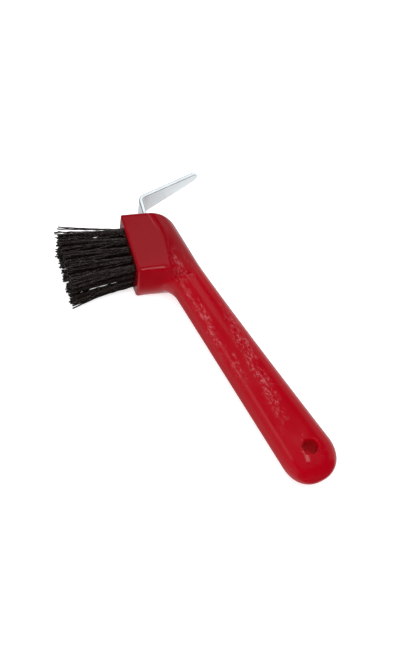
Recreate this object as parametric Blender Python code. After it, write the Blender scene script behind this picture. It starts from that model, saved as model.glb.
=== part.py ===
"""Hoof pick with a brush: a moulded plastic handle, a folded steel pick, and staple-set bristle tufts.

The tool lies on its side. +Z is up through its thickness, +X runs along the handle towards the head,
+Y is the brush side and -Y the side that the pick points to. Units are metres. The drawing's own origin
is the centre of the hang hole at the level of the head's lower face; at the end an empty moves the whole
tool so that the middle of its base is the world origin.
"""
import math

import bmesh
import bpy
from mathutils import Vector

# ---------------------------------------------------------------- driving dimensions
HEAD_THICKNESS = 0.024
MID_Z = HEAD_THICKNESS / 2

# grip
GRIP_FRONT_Y = 0.0133            # the straight edge on the brush side
GRIP_BACK_Y_END = -0.0117        # back edge at the hang hole
GRIP_BACK_Y_NECK = -0.0034       # back edge where the grip meets the neck
GRIP_TAPER_POWER = 1.18          # a little more taper near the end than near the neck
GRIP_HALF_THICKNESS = 0.0080
GRIP_END_LENGTH = 0.0142         # from the hang hole to the tip of the rounded end
GRIP_END_POWER = 2.25            # superellipse of the end's outline
GRIP_SECTION_POWER = 2.5         # superellipse of the grip's cross-section
GRIP_END_REACH = math.radians(86)       # the end's last section stops just short of a point
GRIP_SECTION_PLACES = (0.0, 0.025, 0.050, 0.075)
HANG_HOLE_RADIUS = 0.0037

# neck and head
NECK_X = 0.100                   # the grip begins to thicken here
HEAD_X = 0.126                   # and has the head's thickness here
NECK_SECTION_PLACES = (NECK_X, 0.106, 0.113, 0.120, HEAD_X)
BAR_END_X = 0.145                # past the far side, before it is trimmed
BACK_STRAIGHT_X = 0.105
CROWN_HALF_THICKNESS = 0.01180   # the crowned back of the head stays just under its flat sides
CROWN_FRONT_Y = 0.0180           # buried in the head block
CROWN_SECTION_POWER = 2.9
CROWN_TRIM = 0.00004             # the crown ends this far inside the block's far side
BACK_CORNER_RADIUS = 0.0070
OFFCUT_SIZE = 0.030              # of the trimmed-off shape, beyond the head
HEAD_FAR_CORNER = (0.1413, 0.0196)      # corners of the face that the brush stands on
HEAD_NEAR_CORNER = (0.1096, 0.0269)
HEAD_NECK_CORNER = (0.1048, 0.0119)     # where the head's near side runs into the neck
NECK_FILLET_RADIUS = 0.0080             # between that side and the grip's straight edge
NECK_FILLET_HALF_THICKNESS = 0.0050
HEAD_FLAT_LIMIT = [(0.1100, 0.0098), (0.1180, 0.0086), (0.1275, 0.0066)]   # flat side against the crown
HEAD_BACK_CORNER = (0.1364, 0.0066)
HEAD_EDGE_RADIUS = 0.0014
HEAD_EDGE_STEPS = 2
EASED_ANGLE = math.radians(40)   # edges sharper than this are eased
NECK_FILLET_ROOT = 0.006         # the web is anchored this far inside the head and the grip

# brush
TUFT_COLUMNS = 5                 # along the end face
TUFT_ROWS = 4                    # across the thickness
TUFT_PITCH = 0.0050
TUFT_HOLE_RADIUS = 0.00185
TUFT_HOLE_DEPTH = 0.0089
BRUSH_SHIFT = -0.0008            # the field sits a little towards the near corner
BRISTLE_LENGTH = 0.0310          # outside the face
BRUSH_LEAN = math.radians(-2.7)  # the whole brush leans towards the pick
COLUMN_FAN = math.radians(2.35)  # between neighbouring columns
ROW_FAN = math.radians(1.6)      # between neighbouring rows
TUFT_TIP_RADIUS = 0.00260
TUFT_TIP_TRIM = 0.97             # of the length, where the cut end begins to round
TUFT_TIP_SHRINK = 0.85           # and of the radius, at the very end
FOLD_SHRINK = 0.72               # of the packed radius, at the folded bottom
FOLD_HEIGHT = 0.0006             # over which the fold widens to the full bundle

# wire anchors
ANCHOR_LENGTH = 0.0050
ANCHOR_HEIGHT = 0.0018
ANCHOR_THICKNESS = 0.00045
ANCHOR_TURN = math.radians(45)
FOLD_THICKNESS = 0.0010          # filament that passes under the anchor

# pick
STRIP_THICKNESS = 0.0018
STRIP_WIDTH = 0.0146
TIP_WIDTH = 0.0062
PICK_FOLD = (0.1477, 0.0051)     # where the middles of shank and blade would cross
SHANK_ANGLE = math.radians(-14)
BLADE_ANGLE = math.radians(-85)
SHANK_LENGTH = 0.0115            # from the head's far side to the fold
TANG_LENGTH = 0.0200             # inside the head
BLADE_LENGTH = 0.0335
FOLD_RADIUS = 0.0026             # at the middle of the strip
TANG_HOLE_RADIUS = 0.0021
TANG_HOLE_PLACES = (0.0050, 0.0125)   # from the tang's inner end
TANG_CUT_REACH = 0.003           # how far the hole cutter reaches to either side of the strip
POCKET_PAST = 0.006              # how far the pocket's cutter runs out of the head
STRIP_EDGE = 0.0003              # eased corners of the strip's section
TIP_LEAST = 0.25                 # of the tip's radius: half-width of the very last section

GAP = 0.0003                     # running gap kept between pieces that touch
PAST = 0.002                     # how far a cutter passes the surface it cuts
OVERLAP = 0.0006                 # how far a joined shape runs into its neighbour


# ---------------------------------------------------------------- helpers
def clear_objects():
    for old in list(bpy.data.objects):
        bpy.data.objects.remove(old, do_unlink=True)


def plain_material(name, colour, roughness, metallic=0.0):
    material = bpy.data.materials.new(name)
    material.use_nodes = True
    shader = material.node_tree.nodes["Principled BSDF"]
    shader.inputs["Base Color"].default_value = (*colour, 1.0)
    shader.inputs["Roughness"].default_value = roughness
    shader.inputs["Metallic"].default_value = metallic
    material.diffuse_color = (*colour, 1.0)
    return material


def add_object(name, vertices, faces, material=None, smooth_angle=None):
    """A mesh object with its normals facing out."""
    mesh = bpy.data.meshes.new(name)
    mesh.from_pydata([tuple(v) for v in vertices], [], faces)
    work = bmesh.new()
    work.from_mesh(mesh)
    bmesh.ops.recalc_face_normals(work, faces=work.faces)
    work.to_mesh(mesh)
    work.free()
    if smooth_angle is not None:
        mesh.shade_smooth()
        mesh.set_sharp_from_angle(angle=math.radians(smooth_angle))
    if material is not None:
        mesh.materials.append(material)
    made = bpy.data.objects.new(name, mesh)
    bpy.context.scene.collection.objects.link(made)
    return made


def rings_to_faces(ring_count, ring_size, first=0):
    """Side quads between neighbouring rings, and an n-gon cap on each end."""
    faces = []
    for ring in range(ring_count - 1):
        for k in range(ring_size):
            a = first + ring * ring_size + k
            b = first + ring * ring_size + (k + 1) % ring_size
            faces.append((a, b, b + ring_size, a + ring_size))
    last = first + (ring_count - 1) * ring_size
    faces.append(tuple(first + k for k in range(ring_size)))
    faces.append(tuple(last + k for k in range(ring_size)))
    return faces


def add_loft(name, rings, material=None, smooth_angle=None):
    vertices = [point for ring in rings for point in ring]
    faces = rings_to_faces(len(rings), len(rings[0]))
    return add_object(name, vertices, faces, material, smooth_angle)


def hide_tool(tool):
    """Cutters and union partners are construction shapes, not pieces."""
    tool.hide_render = True
    tool.display_type = "WIRE"
    return tool


def combine(target, tool, operation):
    modifier = target.modifiers.new(f"{operation.lower()}_{tool.name}", "BOOLEAN")
    modifier.operation = operation
    modifier.solver = "EXACT"
    modifier.object = hide_tool(tool)


def signed_power(value, power):
    return math.copysign(abs(value) ** power, value)


# ---------------------------------------------------------------- handle
def grip_back_y(x):
    """Back edge of the bar in plan: a long taper, then straight to the far side."""
    if x >= BACK_STRAIGHT_X:
        return GRIP_BACK_Y_NECK
    left = 1 - max(x, 0.0) / BACK_STRAIGHT_X
    return GRIP_BACK_Y_NECK + (GRIP_BACK_Y_END - GRIP_BACK_Y_NECK) * left ** GRIP_TAPER_POWER


def neck_blend(x):
    """0 on the grip, 1 in the head, with a smooth change along the neck."""
    t = min(max((x - NECK_X) / (HEAD_X - NECK_X), 0.0), 1.0)
    return t * t * (3 - 2 * t)


def bar_section(x, shrink=1.0, points=24):
    """One superelliptic section of the bar, a closed ring in the YZ plane."""
    blend = neck_blend(x)
    back = grip_back_y(x)
    front = GRIP_FRONT_Y + (CROWN_FRONT_Y - GRIP_FRONT_Y) * blend
    half_height = GRIP_HALF_THICKNESS + (CROWN_HALF_THICKNESS - GRIP_HALF_THICKNESS) * blend
    centre = (front + back) / 2
    half_width = (front - back) / 2
    power = GRIP_SECTION_POWER + (CROWN_SECTION_POWER - GRIP_SECTION_POWER) * blend
    ring = []
    for k in range(points):
        angle = 2 * math.pi * k / points
        y = centre + half_width * shrink * signed_power(math.cos(angle), 2 / power)
        z = MID_Z + half_height * shrink * signed_power(math.sin(angle), 2 / power)
        ring.append((x, y, z))
    return ring


def make_bar(material):
    """The grip and the crowned back of the head, lofted from the rounded end to past the far side."""
    rings = []
    end_steps = 7
    for k in range(end_steps, 0, -1):
        angle = GRIP_END_REACH * k / end_steps
        x = -GRIP_END_LENGTH * math.sin(angle) ** (2 / GRIP_END_POWER)
        rings.append(bar_section(x, shrink=math.cos(angle) ** (2 / GRIP_END_POWER)))
    for x in (*GRIP_SECTION_PLACES, *NECK_SECTION_PLACES, BAR_END_X):
        rings.append(bar_section(x))
    return add_loft("handle", rings, material, smooth_angle=35)


def make_far_offcut():
    """What is trimmed off the bar: all beyond the head's flat far side and its round back corner."""
    far_side = Vector(HEAD_FAR_CORNER) - Vector(HEAD_BACK_CORNER)
    far_side.normalize()
    outward = Vector((far_side.y, -far_side.x))
    plane_point = Vector(HEAD_BACK_CORNER) - outward * CROWN_TRIM
    radius = BACK_CORNER_RADIUS
    centre_y = GRIP_BACK_Y_NECK - CROWN_TRIM + radius
    centre_x = plane_point.x + (-radius - (centre_y - plane_point.y) * outward.y) / outward.x
    past = OFFCUT_SIZE
    steps = 8
    start = -math.pi / 2
    stop = math.atan2(outward.y, outward.x)
    outline = [(centre_x, -past)]
    for k in range(steps + 1):
        angle = start + (stop - start) * k / steps
        outline.append((centre_x + radius * math.cos(angle), centre_y + radius * math.sin(angle)))
    top = plane_point + far_side * past
    outline += [(top.x, top.y), (top.x + past, top.y), (top.x + past, -past)]
    rings = [[(x, y, z) for x, y in outline] for z in (-PAST, HEAD_THICKNESS + PAST)]
    return add_loft("far_offcut", rings)


def make_head_block():
    """The flat-sided block, with eased edges."""
    outline = [HEAD_FAR_CORNER, HEAD_NEAR_CORNER, HEAD_NECK_CORNER, *HEAD_FLAT_LIMIT, HEAD_BACK_CORNER]
    work = bmesh.new()
    face = work.faces.new([work.verts.new((x, y, 0.0)) for x, y in outline])
    grown = bmesh.ops.extrude_face_region(work, geom=[face])
    top = [v for v in grown["geom"] if isinstance(v, bmesh.types.BMVert)]
    bmesh.ops.translate(work, verts=top, vec=(0, 0, HEAD_THICKNESS))
    bmesh.ops.recalc_face_normals(work, faces=work.faces)
    eased = [edge for edge in work.edges if edge.calc_face_angle(0) > EASED_ANGLE]
    bmesh.ops.bevel(work, geom=eased, offset=HEAD_EDGE_RADIUS, offset_type="OFFSET",
                    segments=HEAD_EDGE_STEPS, profile=0.5, affect="EDGES")
    mesh = bpy.data.meshes.new("head_block")
    work.to_mesh(mesh)
    work.free()
    block = bpy.data.objects.new("head_block", mesh)
    bpy.context.scene.collection.objects.link(block)
    return block


def make_neck_fillet():
    """The web that rounds the inner corner between the head's near side and the grip."""
    side = Vector(HEAD_NEAR_CORNER) - Vector(HEAD_NECK_CORNER)
    side.normalize()
    corner = Vector(HEAD_NECK_CORNER) + side * ((GRIP_FRONT_Y - HEAD_NECK_CORNER[1]) / side.y)
    open_angle = math.pi - math.atan2(side.y, side.x)
    reach = NECK_FILLET_RADIUS / math.tan(open_angle / 2)
    centre = corner + Vector((-reach, NECK_FILLET_RADIUS))
    steps = 8
    outline = [(corner.x + NECK_FILLET_ROOT, corner.y - NECK_FILLET_ROOT)]
    for k in range(steps + 1):
        angle = -(math.pi / 2) + (math.pi - open_angle) * k / steps
        outline.append((centre.x + NECK_FILLET_RADIUS * math.cos(angle),
                        centre.y + NECK_FILLET_RADIUS * math.sin(angle)))
    outline[1] = (outline[1][0], outline[1][1] - OVERLAP)
    outline[-1] = (outline[-1][0] + OVERLAP, outline[-1][1])
    rings = [[(x, y, MID_Z + side_z) for x, y in outline]
             for side_z in (-NECK_FILLET_HALF_THICKNESS, NECK_FILLET_HALF_THICKNESS)]
    return add_loft("neck_fillet", rings)


def make_hang_hole():
    sides = 24
    rings = [[(HANG_HOLE_RADIUS * math.cos(2 * math.pi * k / sides),
               HANG_HOLE_RADIUS * math.sin(2 * math.pi * k / sides), z) for k in range(sides)]
             for z in (-PAST, HEAD_THICKNESS + PAST)]
    return add_loft("hang_hole", rings)


# ---------------------------------------------------------------- brush
FACE_START = Vector((*HEAD_NEAR_CORNER, MID_Z))
FACE_END = Vector((*HEAD_FAR_CORNER, MID_Z))
FACE_CENTRE = (FACE_START + FACE_END) / 2
FACE_ALONG = (FACE_END - FACE_START).normalized()
FACE_UP = Vector((0, 0, 1))
FACE_NORMAL = FACE_UP.cross(FACE_ALONG).normalized()


def tuft_places():
    """(column, row, root on the end face, direction of the bristles) of every tuft."""
    for column in range(TUFT_COLUMNS):
        for row in range(TUFT_ROWS):
            across = column - (TUFT_COLUMNS - 1) / 2
            up = row - (TUFT_ROWS - 1) / 2
            root = (FACE_CENTRE + FACE_ALONG * (across * TUFT_PITCH + BRUSH_SHIFT)
                    + FACE_UP * (up * TUFT_PITCH))
            sideways = across * COLUMN_FAN - BRUSH_LEAN
            direction = FACE_NORMAL + FACE_ALONG * math.tan(sideways) + FACE_UP * math.tan(up * ROW_FAN)
            yield column + 1, row + 1, root, direction.normalized()


def circle_ring(centre, radius, sides):
    """A ring parallel to the end face."""
    return [centre + FACE_ALONG * (radius * math.cos(2 * math.pi * k / sides))
            + FACE_UP * (radius * math.sin(2 * math.pi * k / sides)) for k in range(sides)]


def anchor_axes():
    """Length and thickness directions of the anchors, turned within the end face's plane."""
    length = FACE_ALONG * math.cos(ANCHOR_TURN) + FACE_UP * math.sin(ANCHOR_TURN)
    return length, FACE_NORMAL.cross(length)


def add_box(name, centre, axes, sizes, material=None):
    """A box on three given perpendicular axes."""
    vertices = []
    for i in (-0.5, 0.5):
        for j, k in ((-0.5, -0.5), (0.5, -0.5), (0.5, 0.5), (-0.5, 0.5)):
            vertices.append(centre + axes[0] * (i * sizes[0]) + axes[1] * (j * sizes[1])
                            + axes[2] * (k * sizes[2]))
    return add_object(name, vertices, rings_to_faces(2, 4), material)


def make_tuft_holes():
    """All blind holes, each with the two grooves that its anchor cuts on its way in."""
    length, thickness = anchor_axes()
    half_groove = ANCHOR_THICKNESS / 2 + GAP
    reach = ANCHOR_LENGTH / 2 + GAP
    start = math.asin(half_groove / TUFT_HOLE_RADIUS)
    arc_steps = 4
    outline = []
    for side in (0, math.pi):
        for k in range(arc_steps + 1):
            angle = side + start + (math.pi - 2 * start) * k / arc_steps
            outline.append((TUFT_HOLE_RADIUS * math.cos(angle), TUFT_HOLE_RADIUS * math.sin(angle)))
        sign = -1 if side == 0 else 1
        outline.append((sign * reach, -sign * half_groove))
        outline.append((sign * reach, sign * half_groove))
    vertices = []
    faces = []
    for _, _, root, _ in tuft_places():
        first = len(vertices)
        for depth in (-TUFT_HOLE_DEPTH, PAST):
            vertices += [root + FACE_NORMAL * depth + length * u + thickness * v for u, v in outline]
        faces += rings_to_faces(2, len(outline), first)
    return add_object("tuft_holes", vertices, faces)


def make_tuft(name, root, direction, material, window):
    """A bundle folded in half: straight in its hole, then flaring to its cut end."""
    sides = 10
    packed = TUFT_HOLE_RADIUS - GAP
    bottom = GAP - TUFT_HOLE_DEPTH
    rings = [circle_ring(root + FACE_NORMAL * bottom, packed * FOLD_SHRINK, sides),
             circle_ring(root + FACE_NORMAL * (bottom + FOLD_HEIGHT), packed, sides),
             circle_ring(root, packed, sides),
             circle_ring(root + direction * BRISTLE_LENGTH * TUFT_TIP_TRIM, TUFT_TIP_RADIUS, sides),
             circle_ring(root + direction * BRISTLE_LENGTH, TUFT_TIP_RADIUS * TUFT_TIP_SHRINK, sides)]
    tuft = add_loft(name, rings, material, smooth_angle=40)
    combine(tuft, window, "DIFFERENCE")


def make_brush(filament, wire):
    """Tufts and anchors, one node each."""
    length, thickness = anchor_axes()
    axes = (length, thickness, FACE_NORMAL)
    fold_top = GAP - TUFT_HOLE_DEPTH + FOLD_THICKNESS
    window_size = (2 * ANCHOR_LENGTH, ANCHOR_THICKNESS + 2 * GAP, ANCHOR_HEIGHT + 2 * GAP)
    anchor_size = (ANCHOR_LENGTH, ANCHOR_THICKNESS, ANCHOR_HEIGHT)
    for column, row, root, direction in tuft_places():
        middle = root + FACE_NORMAL * (fold_top + GAP + ANCHOR_HEIGHT / 2)
        window = add_box(f"window_{column}_{row}", middle, axes, window_size)
        make_tuft(f"tuft_{column}_{row}", root, direction, filament, window)
        add_box(f"anchor_{column}_{row}", middle, axes, anchor_size, wire)


# ---------------------------------------------------------------- pick
def strip_path(distance):
    """Point and direction of the strip's middle, at a distance from the tang's inner end."""
    turn = SHANK_ANGLE - BLADE_ANGLE
    cut_back = FOLD_RADIUS * math.tan(turn / 2)
    straight = TANG_LENGTH + SHANK_LENGTH - cut_back
    ahead = Vector((math.cos(SHANK_ANGLE), math.sin(SHANK_ANGLE), 0))
    down = Vector((math.cos(BLADE_ANGLE), math.sin(BLADE_ANGLE), 0))
    corner = Vector((*PICK_FOLD, MID_Z))
    bend_start = corner - ahead * cut_back
    if distance <= straight:
        return bend_start - ahead * (straight - distance), SHANK_ANGLE
    arc = FOLD_RADIUS * turn
    if distance <= straight + arc:
        angle = SHANK_ANGLE - (distance - straight) / FOLD_RADIUS
        inward = Vector((math.sin(SHANK_ANGLE), -math.cos(SHANK_ANGLE), 0))
        centre = bend_start + inward * FOLD_RADIUS
        return centre + Vector((-math.sin(angle), math.cos(angle), 0)) * FOLD_RADIUS, angle
    return corner + down * (cut_back + distance - straight - arc), BLADE_ANGLE


def strip_lengths():
    """Distances along the strip: start of the bend, end of the bend, tip."""
    turn = SHANK_ANGLE - BLADE_ANGLE
    cut_back = FOLD_RADIUS * math.tan(turn / 2)
    bend_start = TANG_LENGTH + SHANK_LENGTH - cut_back
    bend_end = bend_start + FOLD_RADIUS * turn
    return bend_start, bend_end, bend_end + BLADE_LENGTH - cut_back


def strip_half_width(distance):
    """Full width to the fold, then a straight taper and a round tip."""
    _, bend_end, tip = strip_lengths()
    if distance <= bend_end:
        return STRIP_WIDTH / 2
    tip_radius = TIP_WIDTH / 2
    taper = min((distance - bend_end) / (tip - tip_radius - bend_end), 1.0)
    half = STRIP_WIDTH / 2 + (tip_radius - STRIP_WIDTH / 2) * taper
    into_tip = distance - (tip - tip_radius)
    if into_tip > 0:
        half = math.sqrt(max(tip_radius ** 2 - into_tip ** 2, 0.0))
    return max(half, tip_radius * TIP_LEAST)


def strip_section(distance):
    """The strip's rectangular section, with lightly eased corners."""
    middle, angle = strip_path(distance)
    across = Vector((-math.sin(angle), math.cos(angle), 0))
    half = strip_half_width(distance)
    thick = STRIP_THICKNESS / 2
    ease = STRIP_EDGE
    corners = [(thick, half - ease), (thick - ease, half), (ease - thick, half), (-thick, half - ease),
               (-thick, ease - half), (ease - thick, -half), (thick - ease, -half), (thick, ease - half)]
    return [middle + across * u + Vector((0, 0, w)) for u, w in corners]


def make_pick(material):
    bend_start, bend_end, tip = strip_lengths()
    tip_radius = TIP_WIDTH / 2
    distances = [0.0, bend_start]
    bend_steps = 6
    distances += [bend_start + (bend_end - bend_start) * k / bend_steps for k in range(1, bend_steps + 1)]
    taper_steps = 3
    taper_step = (tip - tip_radius - bend_end) / taper_steps
    distances += [bend_end + taper_step * k for k in range(1, taper_steps + 1)]
    tip_angles = [math.radians(angle) for angle in (25, 45, 62, 75, 90)]
    distances += [tip - tip_radius + tip_radius * math.sin(angle) for angle in tip_angles]
    pick = add_loft("pick", [strip_section(d) for d in distances], material, smooth_angle=30)
    combine(pick, add_tang_cylinders("tang_holes", TANG_HOLE_RADIUS), "DIFFERENCE")


def add_tang_cylinders(name, radius):
    """Cylinders square to the tang, at the places of its two holes."""
    sides = 12
    vertices = []
    faces = []
    for place in TANG_HOLE_PLACES:
        middle, angle = strip_path(place)
        along = Vector((math.cos(angle), math.sin(angle), 0))
        across = Vector((-math.sin(angle), math.cos(angle), 0))
        first = len(vertices)
        for side in (-TANG_CUT_REACH, TANG_CUT_REACH):
            for k in range(sides):
                turn = 2 * math.pi * k / sides
                vertices.append(middle + across * side + along * (radius * math.cos(turn))
                                + Vector((0, 0, radius * math.sin(turn))))
        faces += rings_to_faces(2, sides, first)
    return add_object(name, vertices, faces)


def make_tang_pocket():
    """The space that the tang fills, left open at the head's far side, with a post through each tang hole."""
    inner, angle = strip_path(0.0)
    along = Vector((math.cos(angle), math.sin(angle), 0))
    across = Vector((-math.sin(angle), math.cos(angle), 0))
    length = GAP + TANG_LENGTH + POCKET_PAST
    centre = inner + along * (length / 2 - GAP)
    pocket = add_box("tang_pocket", centre, (along, across, Vector((0, 0, 1))),
                     (length, STRIP_THICKNESS + 2 * GAP, STRIP_WIDTH + 2 * GAP))
    posts = add_tang_cylinders("tang_posts", TANG_HOLE_RADIUS - GAP)
    combine(pocket, posts, "DIFFERENCE")
    return pocket


# ---------------------------------------------------------------- assembly
def centre_on_base(pieces):
    """An empty that carries the whole tool, placed so that the middle of its base is the origin."""
    bpy.context.view_layer.update()
    graph = bpy.context.evaluated_depsgraph_get()
    corners = []
    for piece in pieces:
        if not piece.hide_render:
            mesh = piece.evaluated_get(graph).to_mesh()
            corners += [vertex.co.copy() for vertex in mesh.vertices]
    low = [min(corner[axis] for corner in corners) for axis in range(3)]
    high = [max(corner[axis] for corner in corners) for axis in range(3)]
    frame = bpy.data.objects.new("tool_frame", None)
    bpy.context.scene.collection.objects.link(frame)
    for piece in pieces:
        piece.parent = frame
    frame.location = (-(low[0] + high[0]) / 2, -(low[1] + high[1]) / 2, -low[2])
    bpy.context.view_layer.update()


def main():
    clear_objects()
    red_plastic = plain_material("red_plastic", (0.42, 0.006, 0.012), 0.32)
    black_filament = plain_material("black_filament", (0.012, 0.009, 0.008), 0.45)
    zinc_steel = plain_material("zinc_steel", (0.72, 0.75, 0.77), 0.30, metallic=1.0)
    anchor_wire = plain_material("anchor_wire", (0.62, 0.62, 0.60), 0.35, metallic=1.0)

    handle = make_bar(red_plastic)
    far_offcut = make_far_offcut()
    block = make_head_block()
    neck_fillet = make_neck_fillet()
    hang_hole = make_hang_hole()
    pocket = make_tang_pocket()
    tuft_holes = make_tuft_holes()
    combine(handle, far_offcut, "DIFFERENCE")
    combine(handle, block, "UNION")
    combine(handle, neck_fillet, "UNION")
    combine(handle, hang_hole, "DIFFERENCE")
    combine(handle, pocket, "DIFFERENCE")
    combine(handle, tuft_holes, "DIFFERENCE")

    make_pick(zinc_steel)
    make_brush(black_filament, anchor_wire)
    centre_on_base(list(bpy.data.objects))


main()
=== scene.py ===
import math

import bmesh
import bpy
import numpy as np
from mathutils import Matrix, Vector


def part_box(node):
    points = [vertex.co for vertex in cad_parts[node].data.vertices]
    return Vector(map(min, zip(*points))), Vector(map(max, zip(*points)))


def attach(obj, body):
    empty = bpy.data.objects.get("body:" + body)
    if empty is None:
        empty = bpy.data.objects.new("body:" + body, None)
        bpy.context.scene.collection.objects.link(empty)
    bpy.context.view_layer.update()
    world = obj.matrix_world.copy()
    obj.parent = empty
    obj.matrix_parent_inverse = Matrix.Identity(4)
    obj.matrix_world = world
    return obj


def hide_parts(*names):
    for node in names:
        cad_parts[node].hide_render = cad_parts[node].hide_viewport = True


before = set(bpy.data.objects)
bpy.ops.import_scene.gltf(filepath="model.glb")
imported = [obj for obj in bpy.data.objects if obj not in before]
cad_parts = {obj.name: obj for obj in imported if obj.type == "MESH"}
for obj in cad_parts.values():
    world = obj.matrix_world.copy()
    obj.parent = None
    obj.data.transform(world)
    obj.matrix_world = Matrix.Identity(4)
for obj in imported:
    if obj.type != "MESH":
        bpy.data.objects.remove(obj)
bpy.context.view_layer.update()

# ------------------------------------------------------------------ the design's driving dimensions
HEAD_THICKNESS = 0.024
MID_Z = HEAD_THICKNESS / 2

GRIP_FRONT_Y = 0.0133
GRIP_BACK_Y_END = -0.0117
GRIP_BACK_Y_NECK = -0.0034
GRIP_TAPER_POWER = 1.18
GRIP_HALF_THICKNESS = 0.0080
GRIP_END_LENGTH = 0.0142
GRIP_END_POWER = 2.25
GRIP_SECTION_POWER = 2.5
HANG_HOLE_RADIUS = 0.0038
HOLE_DRAFT = 0.0003              # how much the bore narrows from its upper end to the middle
HOLE_RIM_RADIUS = 0.0004

NECK_X = 0.100                   # the grip begins to turn into the head here
HEAD_X = 0.126                   # and has the head's section here
CROWN_X = 0.1295                 # and its full thickness here
HEAD_CORNER_X = 0.112
BACK_STRAIGHT_X = 0.105
CROWN_HALF_THICKNESS = 0.01250
CROWN_FRONT_Y = 0.0190
CROWN_SECTION_POWER = 2.3
HEAD_FAR_CORNER = np.array((0.1413, 0.0196))
HEAD_NEAR_CORNER = np.array((0.1096, 0.0269))
HEAD_NECK_CORNER = np.array((0.1048, 0.0119))
HEAD_BACK_CORNER = np.array((0.1364, 0.0066))
FLAT_BACK_Y = 0.0078             # the head's flat side ends here against the crown
FLAT_TURN_X = 0.1300             # and from here its limit slants towards the neck
FLAT_NECK_POINT = (0.1072, 0.0120)
FLAT_EDGE_RADIUS = 0.0002
BLOCK_SETBACK = 0.0022           # the block ends this far inside that limit, under the raised bar
HEAD_START_Y = (0.0125, 0.0150)  # the near side's edge is rounded from here on
NEAR_EDGE_RADIUS = 0.0012
NEAR_EDGE_START = 0.0045         # the rounding grows from this far inside the near side
NEAR_ROLL_WIDTH = 0.0034
NEAR_ROLL_RADIUS = 0.0088
NEAR_STEEPNESS = 4.0             # the near side falls this much faster than the slope to the neck
NEAR_OFFSET = 0.0005             # and its fall begins this much earlier
FACE_EDGE_RADIUS = 0.0013
FAR_EDGE_RADIUS = 0.0012
BACK_CORNER_EXTRA = 0.0056       # added to that radius at the middle of the back
RAMP_TOP = -0.0040               # the bar is fully raised this far inside the flat side's limit
RAMP_FOOT = 0.0125               # and not raised at all this far outside it
RAISED_HALF_THICKNESS = 0.0127   # more than the head's, which the flat sides then cut
RAISED_FRONT_Y = 0.0300
WALL_CROWN = 0.0004              # the near side bulges out by this at mid height and recedes at its edges
NECK_JOIN_RADIUS = 0.0080        # added to the least radius in the neck's inner corner
LEAST_JOIN_RADIUS = 0.0003
NECK_JOIN_X = (0.115, 0.106)     # where that fillet fades in, along the tool and across it
NECK_JOIN_Y = (0.0080, 0.0120)

TUFT_COLUMNS = 5
TUFT_ROWS = 4
TUFT_PITCH = 0.0050
TUFT_HOLE_RADIUS = 0.00185
TUFT_HOLE_DEPTH = 0.0089
TUFT_HOLE_RIM_RADIUS = 0.00015
BRUSH_SHIFT = -0.0008
BRISTLE_LENGTH = 0.0310
BRUSH_LEAN = math.radians(-2.7)
COLUMN_FAN = math.radians(2.35)
ROW_FAN = math.radians(1.6)
GAP = 0.0003
FOLD_THICKNESS = 0.0010
ANCHOR_HEIGHT = 0.0018
ANCHOR_THICKNESS = 0.00045
ANCHOR_TURN = math.radians(45)

STRIP_THICKNESS = 0.0018
STRIP_WIDTH = 0.0146
TIP_WIDTH = 0.0062
PICK_FOLD = (0.1477, 0.0051)
SHANK_ANGLE = math.radians(-14)
BLADE_ANGLE = math.radians(-85)
SHANK_LENGTH = 0.0115
TANG_LENGTH = 0.0200
BLADE_LENGTH = 0.0335
FOLD_RADIUS = 0.0026
TANG_HOLE_RADIUS = 0.0021
TANG_HOLE_PLACES = (0.0050, 0.0125)     # from the tang's inner end
TANG_ROOM = 0.00008


def unit(vector):
    return vector / np.linalg.norm(vector)


FACE_ALONG = unit(HEAD_FAR_CORNER - HEAD_NEAR_CORNER)
FACE_NORMAL = np.array((-FACE_ALONG[1], FACE_ALONG[0]))
FACE_CENTRE = (HEAD_FAR_CORNER + HEAD_NEAR_CORNER) / 2
FAR_SIDE = unit(HEAD_FAR_CORNER - HEAD_BACK_CORNER)
FAR_NORMAL = np.array((FAR_SIDE[1], -FAR_SIDE[0]))
NEAR_SIDE = unit(HEAD_NEAR_CORNER - HEAD_NECK_CORNER)
NEAR_NORMAL = np.array((-NEAR_SIDE[1], NEAR_SIDE[0]))


def tool_origin():
    """The hang hole's centre, found from where the anchors lie in the frame."""
    centres = []
    for column in range(TUFT_COLUMNS):
        for row in range(TUFT_ROWS):
            low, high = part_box(f"anchor_{column + 1}_{row + 1}")
            centres.append(((low + high) / 2)[:])
    middle = np.mean(centres, axis=0)
    depth = TUFT_HOLE_DEPTH - 2 * GAP - FOLD_THICKNESS - ANCHOR_HEIGHT / 2
    face_centre = middle[:2] + FACE_NORMAL * depth - FACE_ALONG * BRUSH_SHIFT
    return np.array((*(face_centre - FACE_CENTRE), middle[2] - MID_Z))


ORIGIN = tool_origin()


# ------------------------------------------------------------------ node helpers
def new_material(name):
    material = bpy.data.materials.new(name)
    material.use_nodes = True
    return material, material.node_tree, material.node_tree.nodes["Principled BSDF"]


def add_node(tree, kind, links=None, **values):
    """A node with its inputs set by name or index: numbers are stored, sockets are linked."""
    node = tree.nodes.new(kind)
    for key, value in values.items():
        setattr(node, key, value)
    for key, value in (links or {}).items():
        if isinstance(value, bpy.types.NodeSocket):
            tree.links.new(value, node.inputs[key])
        else:
            node.inputs[key].default_value = value
    return node


def math_node(tree, operation, first, second=0.0, clamp=False):
    node = add_node(tree, "ShaderNodeMath", {0: first, 1: second}, operation=operation, use_clamp=clamp)
    return node.outputs[0]


def times(tree, first, *others):
    for other in others:
        first = math_node(tree, "MULTIPLY", first, other)
    return first


def ramp_node(tree, value, low, high, to_low=0.0, to_high=1.0):
    """A clamped, smooth change of one value into another."""
    node = add_node(tree, "ShaderNodeMapRange", {0: value, 1: low, 2: high, 3: to_low, 4: to_high},
                    interpolation_type="SMOOTHSTEP")
    return node.outputs[0]


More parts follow.
